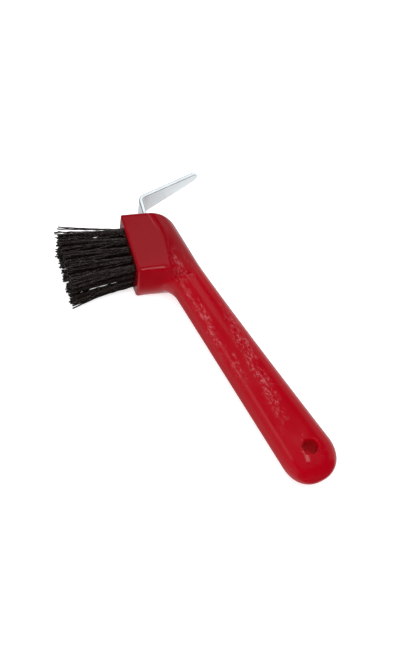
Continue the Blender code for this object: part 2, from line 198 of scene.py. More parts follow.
def noise_node(tree, place, scale, detail=3.0, roughness=0.5, distortion=0.0):
    links = {"Vector": place, "Scale": scale, "Detail": detail, "Roughness": roughness,
             "Distortion": distortion}
    return add_node(tree, "ShaderNodeTexNoise", links).outputs["Fac"]


def mix_colour(tree, factor, first, second):
    node = tree.nodes.new("ShaderNodeMix")
    node.data_type = "RGBA"
    for index, value in ((0, factor), (6, first), (7, second)):
        if isinstance(value, bpy.types.NodeSocket):
            tree.links.new(value, node.inputs[index])
        elif index == 0:
            node.inputs[0].default_value = value
        else:
            node.inputs[index].default_value = (*value, 1.0)
    return node.outputs[2]


def object_place(tree, turn=0.0, scale=(1.0, 1.0, 1.0)):
    """Object coordinates, turned about Z and then stretched."""
    place = add_node(tree, "ShaderNodeTexCoord").outputs["Object"]
    turned = add_node(tree, "ShaderNodeMapping", {0: place, 2: (0.0, 0.0, turn)}).outputs[0]
    return add_node(tree, "ShaderNodeMapping", {0: turned, 3: scale}).outputs[0]


# ------------------------------------------------------------------ materials
# Rubbed streaks of the grip: middle and reach along the tool, middle and reach across it.
FRONT_STREAK = (0.0700, 0.0400, 0.0098, 0.0030)
NECK_STREAK = (0.1060, 0.0120, 0.0060, 0.0065)
BACK_STREAK_X = (0.0460, 0.0420)
BACK_STREAK_REACH = 0.0042
BACK_STREAK_ZERO = 0.0600        # the slanting streak crosses the tool's axis here
BACK_STREAK_SLOPE = 0.11
STREAK_WANDER = 0.008
SCRATCH_LIMIT_Y = (0.0140, 0.0120)      # no scratches on the head beyond this
CREASE_HIGHLIGHT_REACH = 0.00042           # of the painted highlight, a pale line where the crown meets the flat side
CREASE_HIGHLIGHT_X = (0.1330, 0.0085)
# from the grip's red to a darker red on the head, along the tool: painted shade on the one moulding
HEAD_SHADE_X = (0.092, 0.118)


def band(tree, value, middle, width):
    """1 on a line, falling smoothly to 0 at a width to either side; the line may be a socket."""
    offset = math_node(tree, "ABSOLUTE", math_node(tree, "SUBTRACT", value, middle))
    return ramp_node(tree, offset, 0.15 * width, width, 1.0, 0.0)


def rubbed_streaks(tree, place, x, y):
    """1 in the middle of the two long streaks of the grip, less at the neck, 0 elsewhere."""
    drift = math_node(tree, "SUBTRACT", noise_node(tree, place, 55.0, 2.0), 0.5)
    wandering = math_node(tree, "ADD", y, times(tree, drift, STREAK_WANDER))
    front_x, front_reach, front_y, front_width = FRONT_STREAK
    front = times(tree, band(tree, wandering, front_y, front_width), band(tree, x, front_x, front_reach))
    back_y = times(tree, math_node(tree, "SUBTRACT", BACK_STREAK_ZERO, x), BACK_STREAK_SLOPE)
    back = times(tree, band(tree, wandering, back_y, BACK_STREAK_REACH), band(tree, x, *BACK_STREAK_X))
    neck_x, neck_reach, neck_y, neck_width = NECK_STREAK
    neck = times(tree, band(tree, wandering, neck_y, neck_width), band(tree, x, neck_x, neck_reach), 0.6)
    return math_node(tree, "MAXIMUM", math_node(tree, "MAXIMUM", front, back), neck)


def scuff_marks(tree, place, along, streaks, y):
    """White grit and fine curls within the streaks, and a few long scratches anywhere on the grip."""
    grit = ramp_node(tree, noise_node(tree, along, 950.0, 3.0, 0.65), 0.485, 0.60)
    clumps = ramp_node(tree, noise_node(tree, along, 260.0, 2.0), 0.36, 0.52)
    curls = band(tree, noise_node(tree, along, 520.0, 2.0, 0.5, 0.3), 0.5, 0.012)
    marks = times(tree, math_node(tree, "MAXIMUM", grit, times(tree, curls, 0.5)), clumps)
    lines = noise_node(tree, object_place(tree, turn=0.6), 75.0, 1.0, 0.5, 1.2)
    scratch = times(tree, band(tree, lines, 0.5, 0.0045),
                    ramp_node(tree, noise_node(tree, place, 120.0, 1.0), 0.57, 0.63),
                    ramp_node(tree, y, *SCRATCH_LIMIT_Y))
    return math_node(tree, "MAXIMUM", times(tree, streaks, marks), times(tree, scratch, 0.55), clamp=True)


def red_plastic():
    """Glossy moulded polypropylene, rubbed and speckled with white scuffs along two streaks of the grip; a
    painted highlight runs as a pale line along the head's crease, and the head's red is darker as painted
    shade.
    """
    material, tree, shader = new_material("red_plastic")
    place = object_place(tree)
    tool = add_node(tree, "ShaderNodeVectorMath", {0: place, 1: tuple(-ORIGIN)}, operation="ADD").outputs[0]
    split = add_node(tree, "ShaderNodeSeparateXYZ", {0: tool})
    x, y = split.outputs[0], split.outputs[1]
    along = object_place(tree, scale=(0.55, 1.0, 1.0))
    streaks = rubbed_streaks(tree, place, x, y)
    pale_marks = scuff_marks(tree, place, along, streaks, y)
    # painted highlight: a pale line along the crease where the crown meets the flat side, joined to the
    # scuffs
    crease_highlight = times(tree, band(tree, y, FLAT_BACK_Y, CREASE_HIGHLIGHT_REACH), band(tree, x, *CREASE_HIGHLIGHT_X), 0.40)
    pale_marks = math_node(tree, "MAXIMUM", pale_marks, crease_highlight)

    drift = noise_node(tree, place, 38.0, 2.0)
    grip_red = mix_colour(tree, drift, (0.325, 0.0007, 0.0062), (0.375, 0.0011, 0.0085))
    # painted shade: the head takes a darker copy of the same red
    shaded_head_red = mix_colour(tree, drift, (0.225, 0.0007, 0.0045), (0.250, 0.0011, 0.0060))
    body = mix_colour(tree, ramp_node(tree, x, *HEAD_SHADE_X), grip_red, shaded_head_red)
    # the pale colour paints the scuffs and the painted highlight along the crease
    worn_and_highlit = mix_colour(tree, times(tree, pale_marks, 0.66), body, (0.50, 0.110, 0.130))
    tree.links.new(worn_and_highlit, shader.inputs["Base Color"])

    smooth = ramp_node(tree, noise_node(tree, along, 130.0, 3.0), 0.35, 0.75, 0.11, 0.18)
    rough = math_node(tree, "ADD", smooth, times(tree, pale_marks, 0.34))
    tree.links.new(rough, shader.inputs["Roughness"])
    fine = times(tree, noise_node(tree, place, 420.0, 2.0), 0.30)
    rubbed = times(tree, streaks, noise_node(tree, along, 300.0, 3.0), 1.5)
    height = math_node(tree, "ADD", fine, math_node(tree, "ADD", pale_marks, rubbed))
    bump = add_node(tree, "ShaderNodeBump", {"Strength": 0.40, "Distance": 0.00010, "Height": height})
    tree.links.new(bump.outputs[0], shader.inputs["Normal"])
    shader.inputs["IOR"].default_value = 1.50
    shader.inputs["Specular IOR Level"].default_value = 0.28
    return material


def lightened_red_bore():
    """The hang hole's unpolished inside, which stays in shade; its red is lighter than the moulding's as
    painted light.
    """
    material, tree, shader = new_material("lightened_red_bore")
    drift = noise_node(tree, object_place(tree), 300.0, 2.0)
    # painted light: a lighter red than the moulding's, which brightens the shaded bore
    colour = mix_colour(tree, drift, (0.55, 0.0006, 0.0100), (0.62, 0.0010, 0.0130))
    tree.links.new(colour, shader.inputs["Base Color"])
    tree.links.new(ramp_node(tree, drift, 0.3, 0.7, 0.60, 0.75), shader.inputs["Roughness"])
    shader.inputs["Specular IOR Level"].default_value = 0.05
    return material


def zinc_steel():
    """Zinc-plated strip: pale, bluish, with rolling lines along it and small marks."""
    material, tree, shader = new_material("zinc_steel")
    place = object_place(tree)
    rolled = object_place(tree, turn=-BLADE_ANGLE, scale=(0.06, 1.0, 1.0))
    lines = noise_node(tree, rolled, 2600.0, 3.0, 0.6)
    cloud = noise_node(tree, place, 230.0, 4.0, 0.6)
    specks = ramp_node(tree, noise_node(tree, place, 1400.0, 2.0), 0.66, 0.74)
    colour = mix_colour(tree, cloud, (0.82, 0.90, 0.93), (0.89, 0.95, 0.97))
    marked = mix_colour(tree, times(tree, specks, 0.45), colour, (0.40, 0.42, 0.45))
    tree.links.new(marked, shader.inputs["Base Color"])
    rough = math_node(tree, "ADD", times(tree, cloud, 0.22), times(tree, lines, 0.14))
    tree.links.new(math_node(tree, "ADD", rough, 0.28), shader.inputs["Roughness"])
    bump = add_node(tree, "ShaderNodeBump", {"Strength": 0.25, "Distance": 0.00003, "Height": lines})
    tree.links.new(bump.outputs[0], shader.inputs["Normal"])
    tree.links.new(ramp_node(tree, cloud, 0.35, 0.75, 0.12, 0.34), shader.inputs["Metallic"])
    return material


def sheared_corner():
    """The strip's rounded corners: darker grey and duller than the strip, which draws thin dark lines along
    its edges.
    """
    material, tree, shader = new_material("sheared_corner")
    cloud = noise_node(tree, object_place(tree), 700.0, 3.0)
    colour = mix_colour(tree, cloud, (0.22, 0.23, 0.25), (0.36, 0.38, 0.40))
    tree.links.new(colour, shader.inputs["Base Color"])
    tree.links.new(ramp_node(tree, cloud, 0.3, 0.7, 0.40, 0.55), shader.inputs["Roughness"])
    shader.inputs["Metallic"].default_value = 0.6
    return material


def black_filament():
    """Brown-black synthetic filament with a satin surface and a little dust."""
    material, tree, shader = new_material("black_filament")
    place = object_place(tree)
    drift = noise_node(tree, place, 330.0, 2.0)
    dust = ramp_node(tree, noise_node(tree, place, 1900.0, 2.0), 0.62, 0.80)
    colour = mix_colour(tree, drift, (0.0090, 0.0055, 0.0046), (0.0180, 0.0115, 0.0095))
    dusty = mix_colour(tree, times(tree, dust, 0.30), colour, (0.060, 0.050, 0.042))
    tree.links.new(dusty, shader.inputs["Base Color"])
    tree.links.new(ramp_node(tree, drift, 0.3, 0.7, 0.20, 0.32), shader.inputs["Roughness"])
    shader.inputs["IOR"].default_value = 1.52
    shader.inputs["Specular IOR Level"].default_value = 0.8
    return material


def anchor_wire():
    """Galvanised flat wire."""
    material, tree, shader = new_material("anchor_wire")
    cloud = noise_node(tree, object_place(tree), 900.0, 3.0)
    colour = mix_colour(tree, cloud, (0.45, 0.45, 0.44), (0.68, 0.68, 0.66))
    tree.links.new(colour, shader.inputs["Base Color"])
    tree.links.new(ramp_node(tree, cloud, 0.3, 0.7, 0.28, 0.46), shader.inputs["Roughness"])
    shader.inputs["Metallic"].default_value = 1.0
    return material


def pale_floor():
    """White paper that glows a little, so that it stays white around the tool."""
    material, tree, shader = new_material("pale_floor")
    cloud = noise_node(tree, object_place(tree), 6.0, 2.0)
    colour = mix_colour(tree, cloud, (0.76, 0.76, 0.76), (0.78, 0.78, 0.78))
    tree.links.new(colour, shader.inputs["Base Color"])
    shader.inputs["Roughness"].default_value = 0.75
    shader.inputs["Specular IOR Level"].default_value = 0.2
    shader.inputs["Emission Color"].default_value = (1.0, 1.0, 1.0, 1.0)
    shader.inputs["Emission Strength"].default_value = 0.64
    return material


# ------------------------------------------------------------------ mesh helpers
def add_mesh(name, vertices, faces, material, smooth=True):
    """A mesh object given in the tool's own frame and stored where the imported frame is."""
    mesh = bpy.data.meshes.new(name)
    points = np.asarray(vertices, dtype=float) + ORIGIN
    if isinstance(faces, np.ndarray):
        count, corners = faces.shape
        mesh.vertices.add(len(points))
        mesh.vertices.foreach_set("co", points.astype(np.float32).ravel())
        mesh.loops.add(count * corners)
        mesh.loops.foreach_set("vertex_index", faces.astype(np.int32).ravel())
        mesh.polygons.add(count)
        mesh.polygons.foreach_set("loop_start", np.arange(count, dtype=np.int32) * corners)
        mesh.update(calc_edges=True)
        mesh.validate()
    else:
        mesh.from_pydata([tuple(p) for p in points], [], faces)
    if smooth:
        mesh.shade_smooth()
    mesh.materials.append(material)
    made = bpy.data.objects.new(name, mesh)
    bpy.context.scene.collection.objects.link(made)
    return made


def as_piece(made, node):
    """Stands for a frame node and rides with the tool; the frame node is hidden."""
    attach(made, "root")
    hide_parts(node)
    return made


def ring_faces(ring_count, ring_size, first=0):
    """Quads between rings of points that follow each other, and one face over each end."""
    faces = []
    for ring in range(ring_count - 1):
        for k in range(ring_size):
            a = first + ring * ring_size + k
            b = first + ring * ring_size + (k + 1) % ring_size
            faces.append((a, b, b + ring_size, a + ring_size))
    last = first + (ring_count - 1) * ring_size
    faces.append(tuple(first + k for k in reversed(range(ring_size))))
    faces.append(tuple(last + k for k in range(ring_size)))
    return faces


# ------------------------------------------------------------------ handle, as one smooth distance field
def ease(value, low, high):
    """0 below low, 1 above high, smooth between; low may be the larger."""
    t = np.clip((value - low) / (high - low), 0.0, 1.0)
    return t * t * (3 - 2 * t)


def round_both(a, b, radius):
    """The space inside both shapes, its edge rounded."""
    u = np.maximum(radius + a, 0.0)
    v = np.maximum(radius + b, 0.0)
    return np.minimum(np.maximum(a, b), -radius) + np.sqrt(u * u + v * v)


def round_either(a, b, radius):
    """The space inside either shape, its inner corner filleted."""
    u = np.maximum(radius - a, 0.0)
    v = np.maximum(radius - b, 0.0)
    return np.maximum(np.minimum(a, b), radius) - np.sqrt(u * u + v * v)


def plane_distance(x, y, point, normal):
    """Distance in plan from an upright plane, above zero on the side its normal points to."""
    return (x - point[0]) * normal[0] + (y - point[1]) * normal[1]


def past_flat(x, y):
    """How far a place in plan is past the limit of the head's flat sides, towards the back or the neck."""
    slant = unit(np.array((FLAT_NECK_POINT[0] - FLAT_TURN_X, FLAT_NECK_POINT[1] - FLAT_BACK_Y)))
    slant_normal = np.array((-slant[1], slant[0]))
    return np.maximum(FLAT_BACK_Y - y, plane_distance(x, y, (FLAT_TURN_X, FLAT_BACK_Y), slant_normal))


def past_head(x, y):
    """The same, counting the near side too, which is steeper."""
    near = plane_distance(x, y, HEAD_NECK_CORNER, NEAR_NORMAL)
    return np.maximum(past_flat(x, y), (near + NEAR_OFFSET) * NEAR_STEEPNESS)


def bar_shape(x, y):
    """Centre, half-width, half-height and superellipse power of the bar's section.

    The half-height is raised near the head's flat sides, so that the bar rises smoothly into them."""
    blend = ease(x, NECK_X, HEAD_X)
    left = np.clip(1 - x / BACK_STRAIGHT_X, 0.0, 1.0)
    back = GRIP_BACK_Y_NECK + (GRIP_BACK_Y_END - GRIP_BACK_Y_NECK) * left ** GRIP_TAPER_POWER
    front = GRIP_FRONT_Y + (CROWN_FRONT_Y - GRIP_FRONT_Y) * blend
    thicker = CROWN_HALF_THICKNESS - GRIP_HALF_THICKNESS
    half_height = GRIP_HALF_THICKNESS + thicker * ease(x, NECK_X, CROWN_X)
    raised = ease(past_head(x, y), RAMP_FOOT, RAMP_TOP)
    front = front + (RAISED_FRONT_Y - front) * raised * ease(x, NECK_X, HEAD_CORNER_X)
    half_height = half_height + np.maximum(RAISED_HALF_THICKNESS - half_height, 0.0) * raised
    power = GRIP_SECTION_POWER + (CROWN_SECTION_POWER - GRIP_SECTION_POWER) * blend
    return (front + back) / 2, (front - back) / 2, half_height, power


def bar_distance(x, y, z):
    """The tapered grip with its rounded end, running on as the head's crowned back."""
    centre, half_width, half_height, power = bar_shape(x, y)
    across = np.abs(y - centre) / half_width
    upwards = np.abs(z - MID_Z) / half_height
    section = (across ** power + upwards ** power) ** (1 / power)
    past_end = np.maximum(-x, 0.0)
    endwise = past_end / GRIP_END_LENGTH
    level = (section ** GRIP_END_POWER + endwise ** GRIP_END_POWER) ** (1 / GRIP_END_POWER)
    reach = np.sqrt((y - centre) ** 2 + (z - MID_Z) ** 2 + past_end ** 2)
    return reach - np.where(level > 1e-6, reach / np.maximum(level, 1e-6), half_height)


def block_distance(x, y, z):
    """The block within its crowned near side, cut off where its flat sides end and the bar takes over."""
    near = plane_distance(x, y, HEAD_NECK_CORNER, NEAR_NORMAL)
    near = near + WALL_CROWN * (2 * ((z - MID_Z) / MID_Z) ** 2 - 1)
    return np.maximum(near, past_flat(x, y) + BLOCK_SETBACK)


def cut_flat(body, x, y, z):
    """Cuts the flat sides, which roll over at the near side of the head."""
    near = np.minimum(plane_distance(x, y, HEAD_NECK_CORNER, NEAR_NORMAL), NEAR_ROLL_WIDTH)
    on_head = ease(y, *HEAD_START_Y)
    roll = on_head * np.maximum(near + NEAR_ROLL_WIDTH, 0.0) ** 2 / (2 * NEAR_ROLL_RADIUS)
    near_edge = on_head * ease(near, -NEAR_EDGE_START, -NEAR_ROLL_WIDTH)
    radius = FLAT_EDGE_RADIUS + (NEAR_EDGE_RADIUS - FLAT_EDGE_RADIUS) * near_edge
    return round_both(body, np.abs(z - MID_Z) - MID_Z + roll, radius)


def pocket_distance(x, y, z):
    """The tang's pocket, open at the far side, with a post of plastic through each tang hole."""
    inner, angle = strip_path(0.0)
    along = (x - inner[0]) * math.cos(angle) + (y - inner[1]) * math.sin(angle)
    across = -(x - inner[0]) * math.sin(angle) + (y - inner[1]) * math.cos(angle)
    box = np.maximum(np.abs(across) - STRIP_THICKNESS / 2 - TANG_ROOM,
                     np.abs(z - MID_Z) - STRIP_WIDTH / 2 - TANG_ROOM)
    box = np.maximum(box, -along - TANG_ROOM)
    for place in TANG_HOLE_PLACES:
        post = np.sqrt((along - place) ** 2 + (z - MID_Z) ** 2) - (TANG_HOLE_RADIUS - TANG_ROOM)
        box = np.maximum(box, -post)
    return box


def tuft_hole_distance(x, y, z):
    """All blind holes at once: the nearest one of the grid is tested."""
    along = plane_distance(x, y, FACE_CENTRE, FACE_ALONG) - BRUSH_SHIFT
    depth = plane_distance(x, y, FACE_CENTRE, FACE_NORMAL)
    half_columns = (TUFT_COLUMNS - 1) / 2
    half_rows = (TUFT_ROWS - 1) / 2
    column = np.clip(np.round(along / TUFT_PITCH + half_columns), 0, TUFT_COLUMNS - 1) - half_columns
    row = np.clip(np.round((z - MID_Z) / TUFT_PITCH + half_rows), 0, TUFT_ROWS - 1) - half_rows
    off_axis = np.sqrt((along - column * TUFT_PITCH) ** 2 + (z - MID_Z - row * TUFT_PITCH) ** 2)
    return np.maximum(off_axis - TUFT_HOLE_RADIUS, -depth - TUFT_HOLE_DEPTH)


def join_radius(x, y, z):
    """Of the fillet between bar and block: large in the neck's inner corner, least at the flat sides."""
    fillet = NECK_JOIN_RADIUS * ease(x, *NECK_JOIN_X) * ease(y, *NECK_JOIN_Y)
    return LEAST_JOIN_RADIUS + fillet * (1 - ((z - MID_Z) / MID_Z) ** 4).clip(0)


def far_edge_radius(x, y, z):
    """Of the far side's edge: largest at the middle of the back, where it rounds off the corner in plan."""
    centre, half_width, half_height, _ = bar_shape(x, y)
    towards_back = ease((centre - y) / half_width, 0.0, 1.0)
    off_middle = np.clip(np.abs(z - MID_Z) / half_height, 0.0, 1.0)
    return FAR_EDGE_RADIUS + BACK_CORNER_EXTRA * towards_back * (1 - off_middle ** 2)


def handle_distance(points):
    """Below zero inside the handle."""
    x, y, z = points[:, 0], points[:, 1], points[:, 2]
    body = round_either(bar_distance(x, y, z), block_distance(x, y, z), join_radius(x, y, z))
    body = round_both(body, plane_distance(x, y, FACE_CENTRE, FACE_NORMAL), FACE_EDGE_RADIUS)
    body = cut_flat(body, x, y, z)
    far_side = plane_distance(x, y, HEAD_BACK_CORNER, FAR_NORMAL)
    body = round_both(body, far_side, far_edge_radius(x, y, z))
    bore = HANG_HOLE_RADIUS - HOLE_DRAFT * (1 - (z - MID_Z) / GRIP_HALF_THICKNESS)
    body = round_both(body, bore - np.sqrt(x * x + y * y), HOLE_RIM_RADIUS)
    body = np.maximum(body, -pocket_distance(x, y, z))
    return round_both(body, -tuft_hole_distance(x, y, z), TUFT_HOLE_RIM_RADIUS)


GRADIENT_STEP = 0.00003
NET_PITCH = 0.00046
NET_MARGIN_LOW = np.array((0.0012, 0.0011, 0.0012))      # between the handle and the grid's ends
NET_MARGIN_HIGH = np.array((0.0013, 0.0012, 0.0012))
SETTLE_ROUNDS = 6
LAST_ROUNDS = 3                  # these pull the points onto the surface without evening them out
EVENING_SHARE = 0.5
LEAST_SLOPE = 0.05               # the square of the field's gradient counts as at least this
LONGEST_MOVE = 0.0002


def field_gradient(field, points):
    slopes = np.empty_like(points)
    for axis in range(3):
        shift = np.zeros(3)
        shift[axis] = GRADIENT_STEP
        slopes[:, axis] = (field(points + shift) - field(points - shift)) / (2 * GRADIENT_STEP)
    return slopes


def surface_net(field, low, high, pitch):
    """Quads round the zero level of a field: one point in each grid cell that the surface crosses."""
    counts = [int(math.ceil((high[k] - low[k]) / pitch)) + 1 for k in range(3)]
    axes = [low[k] + pitch * np.arange(counts[k]) for k in range(3)]
    values = np.empty(counts)
    for i, x in enumerate(axes[0]):
        yy, zz = np.meshgrid(axes[1], axes[2], indexing="ij")
        layer = np.column_stack((np.full(yy.size, x), yy.ravel(), zz.ravel()))
        values[i] = field(layer).reshape(yy.shape)
    cells = [c - 1 for c in counts]
    total = np.zeros((*cells, 3))
    hits = np.zeros(cells)
    crossings = []
    for axis in range(3):
        others = [k for k in range(3) if k != axis]
        first = [slice(None)] * 3
        second = [slice(None)] * 3
        first[axis] = slice(0, -1)
        second[axis] = slice(1, None)
        a = values[tuple(first)]
        b = values[tuple(second)]
        index = np.argwhere((a < 0) != (b < 0))
        va = a[tuple(index.T)]
        vb = b[tuple(index.T)]
        place = index.astype(float)
        place[:, axis] += va / (va - vb)
        inner = np.all([(index[:, k] > 0) & (index[:, k] < counts[k] - 1) for k in others], axis=0)
        index, place, leaving = index[inner], place[inner], (va < 0)[inner]
        around = []
        for du, dv in ((-1, -1), (0, -1), (0, 0), (-1, 0)):
            cell = index.copy()
            cell[:, others[0]] += du
            cell[:, others[1]] += dv
            np.add.at(total, tuple(cell.T), place)
            np.add.at(hits, tuple(cell.T), 1)
            around.append(cell)
        flip = leaving if axis != 1 else ~leaving
        crossings.append((around, flip))
    used = np.argwhere(hits > 0)
    number = -np.ones(cells, dtype=np.int64)
    number[tuple(used.T)] = np.arange(len(used))
    points = total[tuple(used.T)] / hits[tuple(used.T)][:, None]
    points = points * pitch + low
    quads = []
    for around, flip in crossings:
        quad = np.stack([number[tuple(cell.T)] for cell in around], axis=1)
        quad[~flip] = quad[~flip][:, ::-1]
        quads.append(quad)
    return points, np.concatenate(quads)


def settle(field, points, quads):
    """Evens the net out along the surface and pulls each point onto it."""
    starts = np.concatenate([quads[:, k] for k in range(4)])
    ends = np.concatenate([quads[:, (k + 1) % 4] for k in range(4)])
    degree = np.bincount(starts, minlength=len(points)) + np.bincount(ends, minlength=len(points))
    for turn in range(SETTLE_ROUNDS):
        if turn < SETTLE_ROUNDS - LAST_ROUNDS:
            mean = np.zeros_like(points)
            for axis in range(3):
                mean[:, axis] = (np.bincount(starts, points[ends, axis], len(points))
                                 + np.bincount(ends, points[starts, axis], len(points))) / degree
            points = points + EVENING_SHARE * (mean - points)
        slopes = field_gradient(field, points)
        size = np.maximum((slopes ** 2).sum(1), LEAST_SLOPE)
        move = slopes * (field(points) / size)[:, None]
        length = np.linalg.norm(move, axis=1)
        points = points - move * np.minimum(1.0, LONGEST_MOVE / np.maximum(length, 1e-12))[:, None]
    return points


def make_handle(material, bore_material):
    """The moulding in one mesh, with the hang hole's inside in its own material."""
    low = np.array((-GRIP_END_LENGTH, GRIP_BACK_Y_END, 0.0)) - NET_MARGIN_LOW
    high = np.array((HEAD_FAR_CORNER[0], HEAD_NEAR_CORNER[1], HEAD_THICKNESS)) + NET_MARGIN_HIGH
    pitch = NET_PITCH
    points, quads = surface_net(handle_distance, low, high, pitch)
    points = settle(handle_distance, points, quads)
    handle = add_mesh("handle_moulding", points, quads, material)
    handle.data.materials.append(bore_material)
    middles = points[quads].mean(axis=1)
    bore_reach = HANG_HOLE_RADIUS + HOLE_RIM_RADIUS / 4         # the bore and the inner part of its rim
    in_bore = np.hypot(middles[:, 0], middles[:, 1]) < bore_reach
    handle.data.polygons.foreach_set("material_index", in_bore.astype(np.int32))
    return as_piece(handle, "handle")


# ------------------------------------------------------------------ pick
def strip_path(distance):
    """Point and direction of the strip's middle, at a distance from the tang's inner end."""
    turn = SHANK_ANGLE - BLADE_ANGLE
    cut_back = FOLD_RADIUS * math.tan(turn / 2)
    straight = TANG_LENGTH + SHANK_LENGTH - cut_back
    ahead = np.array((math.cos(SHANK_ANGLE), math.sin(SHANK_ANGLE)))
    down = np.array((math.cos(BLADE_ANGLE), math.sin(BLADE_ANGLE)))
    corner = np.array(PICK_FOLD)
    bend_start = corner - ahead * cut_back
    if distance <= straight:
        return bend_start - ahead * (straight - distance), SHANK_ANGLE
    arc = FOLD_RADIUS * turn
    if distance <= straight + arc:
        angle = SHANK_ANGLE - (distance - straight) / FOLD_RADIUS
        inward = np.array((math.sin(SHANK_ANGLE), -math.cos(SHANK_ANGLE)))
        centre = bend_start + inward * FOLD_RADIUS
        return centre + np.array((-math.sin(angle), math.cos(angle))) * FOLD_RADIUS, angle
    return corner + down * (cut_back + distance - straight - arc), BLADE_ANGLE


def strip_lengths():
    """Distances along the strip: start of the bend, end of the bend, tip."""
    turn = SHANK_ANGLE - BLADE_ANGLE
    cut_back = FOLD_RADIUS * math.tan(turn / 2)
    bend_start = TANG_LENGTH + SHANK_LENGTH - cut_back
    bend_end = bend_start + FOLD_RADIUS * turn
    return bend_start, bend_end, bend_end + BLADE_LENGTH - cut_back


def strip_half_width(distance):
    """Full up to the end of the bend, then tapering to the round tip."""
    _, bend_end, tip = strip_lengths()
    if distance <= bend_end:
        return STRIP_WIDTH / 2
    tip_radius = TIP_WIDTH / 2
    taper = min((distance - bend_end) / (tip - tip_radius - bend_end), 1.0)
    half = STRIP_WIDTH / 2 + (tip_radius - STRIP_WIDTH / 2) * taper
    into_tip = distance - (tip - tip_radius)
    if into_tip > 0:
        half = math.sqrt(max(tip_radius ** 2 - into_tip ** 2, 0.0))
    return half


CORNER_POINTS = 5                # on each rounded corner of the strip's section
ROLLED_CORNER_RADIUS = 0.00038   # where the shears went in
SHARP_CORNER_RADIUS = 0.00022    # where they came out
BEND_STEPS = 18
TIP_DEGREES = (12, 24, 35, 45, 54, 62, 69, 75, 80, 84, 87)      # stations round the tip
CUTTER_REACH = 0.003             # the tang holes' cutters stand out of the strip on both sides
CUTTER_SIDES = 32


def strip_section(distance):
    """A flat section with sheared edges: one side of each edge is rounder than the other."""
    middle, angle = strip_path(distance)
    across = np.array((-math.sin(angle), math.cos(angle)))
    half = strip_half_width(distance)
    thick = STRIP_THICKNESS / 2
    steps = CORNER_POINTS - 1
    ring = []
    corners = ((1, 1, ROLLED_CORNER_RADIUS), (-1, 1, SHARP_CORNER_RADIUS),
               (-1, -1, SHARP_CORNER_RADIUS), (1, -1, ROLLED_CORNER_RADIUS))
    for number, (side_u, side_w, radius) in enumerate(corners):
        radius = min(radius, half * 0.6)
        for k in range(steps + 1):
            turn = math.radians(90) * (number + k / steps)
            u = side_u * (thick - radius) + radius * math.cos(turn)
            w = side_w * (half - radius) + radius * math.sin(turn)
            ring.append((middle[0] + across[0] * u, middle[1] + across[1] * u, MID_Z + w))
    return ring


def make_pick(material, corner_material):
    """The bent and tapered strip, with its corners in their own material."""
    bend_start, bend_end, tip = strip_lengths()
    tip_radius = TIP_WIDTH / 2
    shoulder = tip - tip_radius
    distances = [0.0, 0.0004, *np.linspace(0.002, bend_start, 14)]
    distances += list(np.linspace(bend_start, bend_end, BEND_STEPS + 1)[1:])
    distances += list(np.linspace(bend_end, shoulder, 16)[1:])
    distances += [shoulder + tip_radius * math.sin(math.radians(turn)) for turn in TIP_DEGREES]
    rings = [strip_section(d) for d in distances]
    vertices = [p for ring in rings for p in ring]
    pick = add_mesh("pick_strip", vertices, ring_faces(len(rings), len(rings[0])), material)
    pick.data.materials.append(corner_material)
    for number in range((len(rings) - 1) * len(rings[0])):
        if number % CORNER_POINTS != CORNER_POINTS - 1:
            pick.data.polygons[number].material_index = 1
    cut_tang_holes(pick)
    pick.data.set_sharp_from_angle(angle=math.radians(50))
    return as_piece(pick, "pick")


def cut_tang_holes(pick):
    """Drills the two holes that the handle's posts pass through."""
    vertices = []
    faces = []
    for place in TANG_HOLE_PLACES:
        middle, angle = strip_path(place)
        along = np.array((math.cos(angle), math.sin(angle)))
        across = np.array((-math.sin(angle), math.cos(angle)))
        first = len(vertices)
        for side in (-CUTTER_REACH, CUTTER_REACH):
            for k in range(CUTTER_SIDES):
                turn = 2 * math.pi * k / CUTTER_SIDES
                plan = middle + across * side + along * (TANG_HOLE_RADIUS * math.cos(turn))
                vertices.append((*plan, MID_Z + TANG_HOLE_RADIUS * math.sin(turn)))
        faces += ring_faces(2, CUTTER_SIDES, first)
    cutter = add_mesh("tang_hole_cutter", vertices, faces, pick.data.materials[0], smooth=False)
    facing_out(cutter)
    facing_out(pick)
    modifier = pick.modifiers.new("holes", "BOOLEAN")
    modifier.operation = "DIFFERENCE"
    modifier.solver = "EXACT"
    modifier.object = cutter
    graph = bpy.context.evaluated_depsgraph_get()
    cut = bpy.data.meshes.new_from_object(pick.evaluated_get(graph))
    pick.modifiers.clear()
    pick.data = cut
    pick.data.shade_smooth()
    bpy.data.objects.remove(cutter, do_unlink=True)


def facing_out(made):
    """Turns every face's normal outwards."""
    work = bmesh.new()
    work.from_mesh(made.data)
    bmesh.ops.recalc_face_normals(work, faces=work.faces)
    work.to_mesh(made.data)
    work.free()


# ------------------------------------------------------------------ brush
FILAMENT_RADIUS = 0.00034
FILAMENT_SIDES = 6
FOLDED_FILAMENTS = 10            # in each tuft; both ends of each stand out of the face
HOLE_CLEARANCE = 0.00005
SIDE_CLEARANCE = 0.0002          # bristles stay this far inside the two planes of the head's flat sides
CRIMP_LENGTH = 0.0056
CRIMP_HEIGHT = 0.00013
CRIMP_FADE_IN = 0.0030
TUFT_FLARE = 0.78                # a tuft is wider by this share at its tips
LEAN_POWER = 1.4
# How far single filaments differ, as standard deviations.
LENGTH_SPREAD = 0.00045
FLARE_SPREAD = 0.30
LEAN_SPREAD = 0.00135
PHASE_SPREAD = 1.6
PLANE_SPREAD = 1.0
WAVE_SPREAD = 0.04
HEIGHT_SPREAD = 0.35
STRAY_SHARE = 0.3                # of the usual crimp and random lean, for the strays
STRAYS = {                       # by column and row: extra length and sideways bow of single filaments
    (0, 0): ((0.0004, (-0.0020, -0.0026)), (0.0006, (-0.0034, -0.0036))),
    (4, 3): ((-0.0004, (0.0018, 0.0006)), (0.0006, (0.0010, 0.0016))),
    (4, 2): ((0.0004, (0.0020, 0.0030)),),
}


